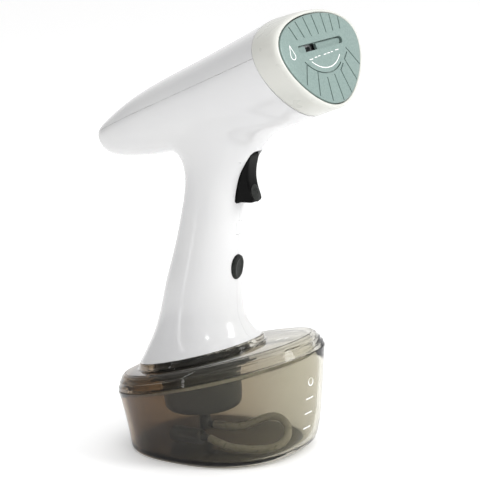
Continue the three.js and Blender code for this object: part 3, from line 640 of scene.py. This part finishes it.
def blendJoint(piece):
    # rounds the corner where the grip runs into the barrel, most of all on the joint itself
    group = piece.vertex_groups.new(name="joint")
    for vert in piece.data.vertices:
        x, y, z = (c / mm for c in vert.co)
        s = (x - face["x"]) * math.cos(pitch) + (z - face["z"]) * math.sin(pitch)
        v = -(x - face["x"]) * math.sin(pitch) + (z - face["z"]) * math.cos(pitch)
        ahead = s - joint["tail"]
        under = joint["depth"] + joint["fall"] * ahead  # depth of the barrel's underside here
        near = 1 - abs(v + under) / joint["reach"]
        ends = min(1.0, max(0.0, ahead / 14), max(0.0, (joint["head"] - s) / 10))
        group.add([vert.index], max(0.0, min(1.0, near * 1.7)) * ends, "REPLACE")
    modify(piece, "SMOOTH", factor=0.5, iterations=joint["rounds"], vertex_group="joint")
    modify(piece, "SMOOTH", factor=0.5, iterations=9)
    piece.vertex_groups.clear()


def bodySkin():
    piece = joined("handset_skin", [barrelVolume(), gripVolume()])
    modify(piece, "REMESH", mode="VOXEL", voxel_size=body["voxel"] * mm)
    blendJoint(piece)
    forward = (math.cos(pitch), 0, math.sin(pitch))
    sliceOff(piece, headPoint(body["front"], 0, 0), forward)
    sliceOff(piece, (0, 0, body["foot"]), (slope, 0, -1))
    return piece


def thick(piece):
    modify(piece, "SOLIDIFY", thickness=body["wall"] * mm, offset=-1, use_rim=True)


trigger = {
    "pivot": (37.5, 191.5), "width": 10.4, "pad": (41.9, 170.2), "padTurn": -11, "middle": (35.5, 180),
    # the curve that the finger rests in, then the outline's points over the top and down the back
    "hollow": ((42.7, 167.4), (39.5, 176), (39.7, 185), (43.2, 193.8)),
    "back": ((43.3, 195.2), (42.4, 195.9), (35.4, 195.7), (31.4, 188), (27.8, 178), (26.0, 167),
             (27.0, 165.0), (30.0, 164.3), (38.0, 164.3), (41.6, 164.4), (42.9, 165.3)),
}
button = {"x": 23.3, "z": 121, "lean": 12, "wide": 10.6, "tall": 16, "proud": 1.6}
buttonLean = Matrix.Rotation(math.radians(button["lean"]), 4, "Y")
buttonFrame = Matrix.Translation((button["x"] * mm, 0, button["z"] * mm)) @ buttonLean
pocket = {"size": (42, 11.7, 34), "place": (44, 0, 180.3)}
lens = {"size": (3, 5, 9), "place": (25.6, 0, 147), "room": 0.3}
bush = {"above": 7.8, "bore": 4.9, "long": 16, "middle": -182}
recess = {"radius": 3.0, "long": 50, "y": 33, "places": ((-2, 168), (12, 86), (-57, 203), (46, 218))}
across = Matrix.Rotation(math.pi / 2, 4, "X")


def buttonOval(name, grow, xs):
    # upright ovals along the button's own X, one ring for each (place, change of size)
    rings = []
    for x, change in xs:
        a, b = button["wide"] / 2 + grow + change, button["tall"] / 2 + grow + change
        rings.append([Vector((x, u, v)) for u, v in oval(a, b, 2.2, 64)])
    piece = sweep(name, rings)
    piece.data.transform(buttonFrame)
    return piece


def makeShells():
    skin = bodySkin()
    up = Vector((-math.sin(pitch), 0, math.cos(pitch)))
    half = body["gap"] / 2
    top = copyOf(skin, "barrel_top_cover")
    sliceOff(top, headPoint(0, 0, body["parting"] + half), tuple(-up))
    thick(top)
    sides = []
    for name, sign in (("grip_shell_left", 1), ("grip_shell_right", -1)):
        side = copyOf(skin, name)
        sliceOff(side, headPoint(0, 0, body["parting"] - half), tuple(up))
        sliceOff(side, (0, sign * 0.05, 0), (0, -sign, 0))
        thick(side)
        sides.append(side)
    remove(skin)
    cutters = [
        bar(pocket["size"], pocket["place"], bevel=2.6, segments=5),
        buttonOval("button_hole", 0.3, ((-8, 0), (6, 0))),
        bar([c + lens["room"] for c in lens["size"]], lens["place"], turn=buttonLean, bevel=1.0),
        rod(bush["bore"], bush["long"], headPoint(bush["middle"], 0, bush["above"]),
            Matrix.Rotation(math.pi / 2 - pitch, 4, "Y")),
    ]
    for x, z in recess["places"]:
        cutters.append(rod(recess["radius"], recess["long"], (x, recess["y"], z), across))
    tool = joined("shell_cutter", cutters)
    for side in sides:
        cut(side, tool)
    remove(tool)
    for piece, node in ((top, "top_cover"), (sides[0], "left_shell"), (sides[1], "right_shell")):
        smooth(piece, 42)
        dress(piece, glossAbs, "handset", "white_abs", node)


makeShells()
print("shells made")


def faceRing(s, half, tall, v=0.0):
    return [Vector((s, a, b + v)) for a, b in oval(half, tall, 2.06, face["count"], face["egg"])]


def inHead(piece):
    piece.data.transform(headFrame)
    return piece


ring = {"rim": -0.5}


def makeRing():
    # outside from the body seam to the rolled lip, then back down the inside
    rim = ring["rim"]
    rings = [
        faceRing(-18.5, 41.4, 31.2, 1.4), faceRing(-18.3, 41.9, 31.7, 1.4), faceRing(-14, 42.1, 31.6, 1.1),
        faceRing(-9, 42.3, 31.4, 0.7), faceRing(-5, 42.2, 31.2, 0.3), faceRing(-2.6, 41.9, 30.9),
        faceRing(rim - 0.9, 41.3, 30.4), faceRing(rim - 0.25, 40.7, 29.9), faceRing(rim, 40.1, 29.4),
        faceRing(rim - 0.1, 39.5, 28.95),
        faceRing(rim - 0.6, 39.1, 28.6), faceRing(-4, 39.0, 28.5), faceRing(-18.5, 39.0, 28.6, 1.2),
    ]
    piece = inHead(sweep("ivory_ring", rings, loop=True))
    smooth(piece, 50)
    return dress(piece, ivoryPp, "handset", "ivory_pp", "front_ring")


makeRing()

plate = {
    "edge": 0.7, "slotV": 8.6, "slotHalf": 23.5, "slotTall": 4.6, "slotDeep": 1.5, "slotCount": 48,
    "channel": (0.8, 3.1), "port": (-14.3, -2.6), "groove": 0.8, "deep": 1.1,
    "smile": {"centre": (-0.6, 18.5), "radius": 27.4, "from": -140, "to": -58},
    # grooves over and under the smile, each from one end to the other
    "upper": (((-24.6, 23.0), (-21.1, 14.9)), ((-16.8, 25.2), (-13.4, 15.2)), ((-7.8, 26.6), (-5.7, 15.0)),
              ((1.3, 27.0), (2.1, 15.2)), ((10.9, 26.6), (10.1, 15.2)), ((19.4, 25.2), (17.6, 15.2)),
              ((27.4, 22.8), (25.4, 15.2))),
    "lower": (((-20.6, -1.4), (-27.0, -12.2)), ((-12.5, -6.8), (-18.2, -20.4)),
              ((-4.9, -11.6), (-7.4, -25.6)), ((3.3, -11.0), (3.3, -26.8)),
              ((15.6, -5.9), (11.0, -9.4)), ((11.0, -9.4), (13.9, -24.4)),
              ((23.5, 0.1), (18.6, -3.6)), ((18.6, -3.6), (24.1, -18.4)), ((24.3, 2.9), (32.4, -9.0))),
}


def grooveBar(start, end, width, deep, s=0.0):
    # rounded bar lying in the plate's face from one point to the other
    a, b = Vector(start), Vector(end)
    d = b - a
    turn = Matrix.Rotation(math.atan2(d.y, d.x), 4, "X")
    middle = (a + b) / 2
    size = (2 * deep, d.length + width, width)
    return bar(size, (s, middle.x, middle.y), turn=turn, bevel=width * 0.3, segments=2)


def arcStrip(name, centre, radius, start, stop, width, deep, s=0.0, steps=40):
    # a small square of material spun round the arc's centre
    deselect()
    bpy.ops.mesh.primitive_plane_add(size=1)
    piece = bpy.context.object
    piece.name = piece.data.name = name
    a = math.radians(start)
    u, v = centre[0] + radius * math.cos(a), centre[1] + radius * math.sin(a)
    place = Matrix.Translation(Vector((s, u, v)) * mm) @ Matrix.Rotation(a, 4, "X")
    piece.data.transform(place @ Matrix.Diagonal((2 * deep * mm, width * mm, 1, 1)))
    bpy.ops.object.mode_set(mode="EDIT")
    bpy.ops.mesh.select_all(action="SELECT")
    bpy.ops.mesh.spin(steps=steps, angle=math.radians(start - stop), axis=(1, 0, 0),
                      center=(s * mm, centre[0] * mm, centre[1] * mm))
    bpy.ops.mesh.select_all(action="SELECT")
    bpy.ops.mesh.remove_doubles(threshold=1e-6)
    bpy.ops.mesh.normals_make_consistent(inside=False)
    bpy.ops.object.mode_set(mode="OBJECT")
    return piece


def makePlate():
    edge = plate["edge"]
    half, tall = face["half"], face["tall"]
    rings = [
        faceRing(-3.4, half - 0.3, tall - 0.3), faceRing(-3.1, half, tall), faceRing(-edge, half, tall),
        faceRing(-edge * 0.5, half - 0.1, tall - 0.1), faceRing(-0.12, half - 0.35, tall - 0.35),
        faceRing(0, half - edge, tall - edge),
    ]
    piece = sweep("sage_steam_plate", rings)
    r = plate["slotTall"] / 2
    middle, turnAt = plate["slotV"], plate["slotHalf"] - r
    slot = []
    for s in (-plate["slotDeep"], 1):
        outline = []
        for k in range(plate["slotCount"]):
            t = 2 * math.pi * (k + 0.5) / plate["slotCount"]
            end = math.copysign(turnAt, math.cos(t))
            outline.append(Vector((s, end + r * math.cos(t), middle + r * math.sin(t))))
        slot.append(outline)
    portStart, portEnd = plate["port"]
    cutters = [
        sweep("slot", slot),
        bar((9, portEnd - portStart, plate["slotTall"] - 0.3), (-2, (portStart + portEnd) / 2, middle)),
    ]
    # a deep narrow channel follows the slot's upper wall and its far end
    rise = r - 0.4
    channel = plate["channel"]
    cutters.append(grooveBar((1.2 - plate["slotHalf"], middle + rise), (turnAt, middle + rise), *channel))
    cutters.append(arcStrip("slot_end", (turnAt, middle), rise, 92, -75, *channel))
    for start, end in plate["upper"] + plate["lower"]:
        cutters.append(grooveBar(start, end, plate["groove"], plate["deep"]))
    smile = plate["smile"]
    cutters.append(arcStrip("smile", smile["centre"], smile["radius"], smile["from"], smile["to"],
                            plate["groove"], plate["deep"]))
    tool = joined("plate_cutter", cutters)
    cut(piece, tool, overlapping=True)
    remove(tool)
    inHead(piece)
    smooth(piece, 30)
    return dress(piece, sagePlate, "handset", "sage_aluminium", "steam_plate")


makePlate()

marks = {
    "centre": (0.4, 16.6), "radius": 22.4, "from": -132, "to": -48, "width": 0.45, "thick": 0.06,
    # each dash: its middle and its length
    "dashes": ((-14.2, 1.4, 3.2), (-9.0, 1.9, 2.2), (-5.4, 2.2, 1.8), (1.0, 2.3, 2.4),
               (5.0, 2.5, 2.2), (8.6, 2.7, 1.6), (14.4, 3.1, 3.0)),
    "drop": (-30.4, 8.0), "dropRadius": 2.3, "dropLine": 0.42,
}


def makeMarks():
    # printed smile, dashes over it and an outlined drop
    width, thick, dropLine = marks["width"], marks["thick"], marks["dropLine"]
    arc = (marks["centre"], marks["radius"], marks["from"], marks["to"])
    parts = [arcStrip("printed_arc", *arc, width, thick)]
    for u, v, length in marks["dashes"]:
        parts.append(grooveBar((u - length / 2, v), (u + length / 2, v), width, thick))
    u, v = marks["drop"]
    bowl = ((u, v - 2.0), marks["dropRadius"], 20, -200)
    parts.append(arcStrip("drop_bowl", *bowl, dropLine, thick, steps=24))
    for side in (-1, 1):
        parts.append(grooveBar((u + side * 2.18, v - 1.25), (u, v + 4.4), dropLine, thick))
    piece = inHead(joined("printed_marks", parts))
    smooth(piece, 30)
    return dress(piece, whiteInk, "handset", "white_abs")


makeMarks()

levels = {
    "from": -4, "to": 3, "heights": (20, 30, 40), "thick": 0.06, "line": 0.7,
    "ring": (2.4, 51), "ringY": -0.5, "catch": (49.2, 6.3), "bracket": (8, 4.5), "bold": 1.3,
}


def frontAt(z):
    # how far forward the tank's nose reaches at this height
    spot = bpy.data.objects["smoked_tank"].ray_cast(Vector((0.2, 0, z * mm)), Vector((-1, 0, 0)))[1]
    return spot.x / mm


def makeLevels():
    # printed level lines on the tank's nose, with a ring at the full mark
    line, thick = levels["line"], levels["thick"]
    parts = []
    for z in levels["heights"]:
        parts.append(grooveBar((levels["from"], z), (levels["to"], z), line, thick, frontAt(z)))
    radius, z = levels["ring"]
    centre = (levels["ringY"], z)
    parts.append(arcStrip("full_ring", centre, radius, 0, -359.9, line, thick, frontAt(z), steps=32))
    piece = joined("printed_levels", parts)
    smooth(piece, 30)
    return dress(piece, whiteInk, "tank", "white_abs")


def makeCatchMark():
    # small printed bracket on the lid's deck, where the handset lets go
    x, y = levels["catch"]
    line, thick = levels["bold"] * levels["line"], levels["thick"]
    z = lid["top"][3] + lid["crown"] + slope * x
    long, wide = levels["bracket"]
    parts = [bar((long, line, 2 * thick), (0, wide / 2, 0))]
    parts += [bar((line, wide, 2 * thick), (side * (long - line) / 2, line / 2, 0)) for side in (-1, 1)]
    piece = joined("printed_bracket", parts)
    tilt = Matrix.Rotation(-math.atan(slope), 4, "Y")
    piece.data.transform(Matrix.Translation(Vector((x, y, z)) * mm) @ tilt)
    return dress(piece, whiteInk, "lid", "white_abs")


makeLevels()
makeCatchMark()
print("steam head made")


def bezier(points, count):
    a, b, c, d = (Vector(p) for p in points)
    places = [k / count for k in range(count + 1)]
    return [a * (1 - t) ** 3 + b * 3 * t * (1 - t) ** 2 + c * 3 * t**2 * (1 - t) + d * t**3 for t in places]


def makeTrigger():
    # side outline: toe, the finger's hollow, the top, then back down inside the grip
    outline = bezier(trigger["hollow"], 14)
    outline += [Vector(p) for p in trigger["back"]]
    half = trigger["width"] / 2
    middle = Vector(trigger["middle"])

    def side(y, inset):
        points = []
        for p in outline:
            d = (p - middle).normalized() * inset
            points.append(Vector((p.x - d.x, y, p.y - d.y)))
        return points

    rings = [
        side(-half, 1.5), side(-half + 0.15, 0.75), side(-half + 0.6, 0.2), side(-half + 1.4, 0),
        side(-1.8, -0.1), side(0, -0.1), side(1.8, -0.1),
        side(half - 1.4, 0), side(half - 0.6, 0.2), side(half - 0.15, 0.75), side(half, 1.5),
    ]
    piece = sweep("finger_trigger", rings)
    modify(piece, "SUBSURF", levels=2, render_levels=2)
    x, z = trigger["pivot"]
    pinHole, coilRoom = rod(1.8, 40, (x, 0, z), across), rod(4.4, 5.4, (x, 0, z), across)
    tool = joined("trigger_cutter", [pinHole, coilRoom, bar((14, 5.4, 6), (x - 7, 0, z))])
    cut(piece, tool, overlapping=True)
    remove(tool)
    smooth(piece, 40)
    return dress(piece, blackAbs, "trigger", "black_abs", "trigger")


def makePad():
    # oval rest for the fingertip, let into the toe, with two raised chevrons
    deselect()
    bpy.ops.mesh.primitive_uv_sphere_add(segments=64, ring_count=32, radius=mm)
    pad = bpy.context.object
    pad.data.transform(Matrix.Diagonal((0.75, 4.3, 5.6, 1)))
    parts = [pad]
    for v in (-0.2, 2.0):
        for side in (-1, 1):
            turn = Matrix.Rotation(side * math.radians(38), 4, "X")
            parts.append(bar((0.5, 2.2, 0.45), (0.72, side * 0.8, v), turn=turn, bevel=0.12))
    piece = joined("trigger_finger_rest", parts)
    x, z = trigger["pad"]
    lean = Matrix.Rotation(math.radians(trigger["padTurn"]), 4, "Y")
    piece.data.transform(Matrix.Translation((x * mm, 0, z * mm)) @ lean)
    smooth(piece, 40)
    return dress(piece, padAbs, "trigger", "black_abs")


makeTrigger()
makePad()


def makeButton():
    proud = button["proud"]
    rim = ((-5, 0), (proud - 1.3, 0), (proud - 0.7, -0.15), (proud - 0.25, -0.6), (proud, -1.3))
    dish = ((proud - 0.05, -1.9), (proud - 0.35, -2.6), (proud - 0.45, -3.4))
    piece = buttonOval("power_push_button", 0, rim + dish)
    smooth(piece, 45)
    return dress(piece, padAbs, "power_button", "grey_abs", "power_button")


def makeLens():
    # small light window over the button
    piece = bar(lens["size"], lens["place"], turn=buttonLean, bevel=0.9, segments=4)
    piece.name = piece.data.name = "light_window"
    smooth(piece, 40)
    return dress(piece, paleLens, "handset", "lens", "indicator_lens")


def makeBush():
    # bush in the tail, turned about the barrel's axis; the supply lead isn't fitted
    profile = ((3.5, -184.2), (3.7, -184.4), (4.3, -184.4), (4.5, -184.2), (4.5, -175),
               (6, -175), (6, -173), (4.5, -173), (4.5, -171), (3.5, -171))
    rings = [[Vector((s, u, v + bush["above"])) for u, v in oval(r, r, 2, 48)] for r, s in profile]
    piece = inHead(sweep("tail_bush", rings, loop=True))
    smooth(piece, 40)
    return dress(piece, blackRubber, "handset", "rubber", "cord_bush")


makeLens()
makeBush()
makeButton()
print("controls made")

# finishes of the parts carried over
finishes = {
    "smoked_plastic": smokedTank, "white_abs": glossAbs, "ivory_pp": ivoryPp, "sage_aluminium": sagePlate,
    "grey_abs": greyAbs, "black_abs": blackAbs, "cast_aluminium": castAluminium, "steel": platedSteel,
    "silicone": siliconeClear, "rubber": blackRubber, "brass": turnedBrass, "board": greenBoard,
    "lens": paleLens,
}
for entry in frame["record"]["subparts"]:
    part = nodes[entry["node"]]
    part.data.materials.clear()
    part.data.materials.append(finishes[entry["material_slot"]])
print("carried parts finished")
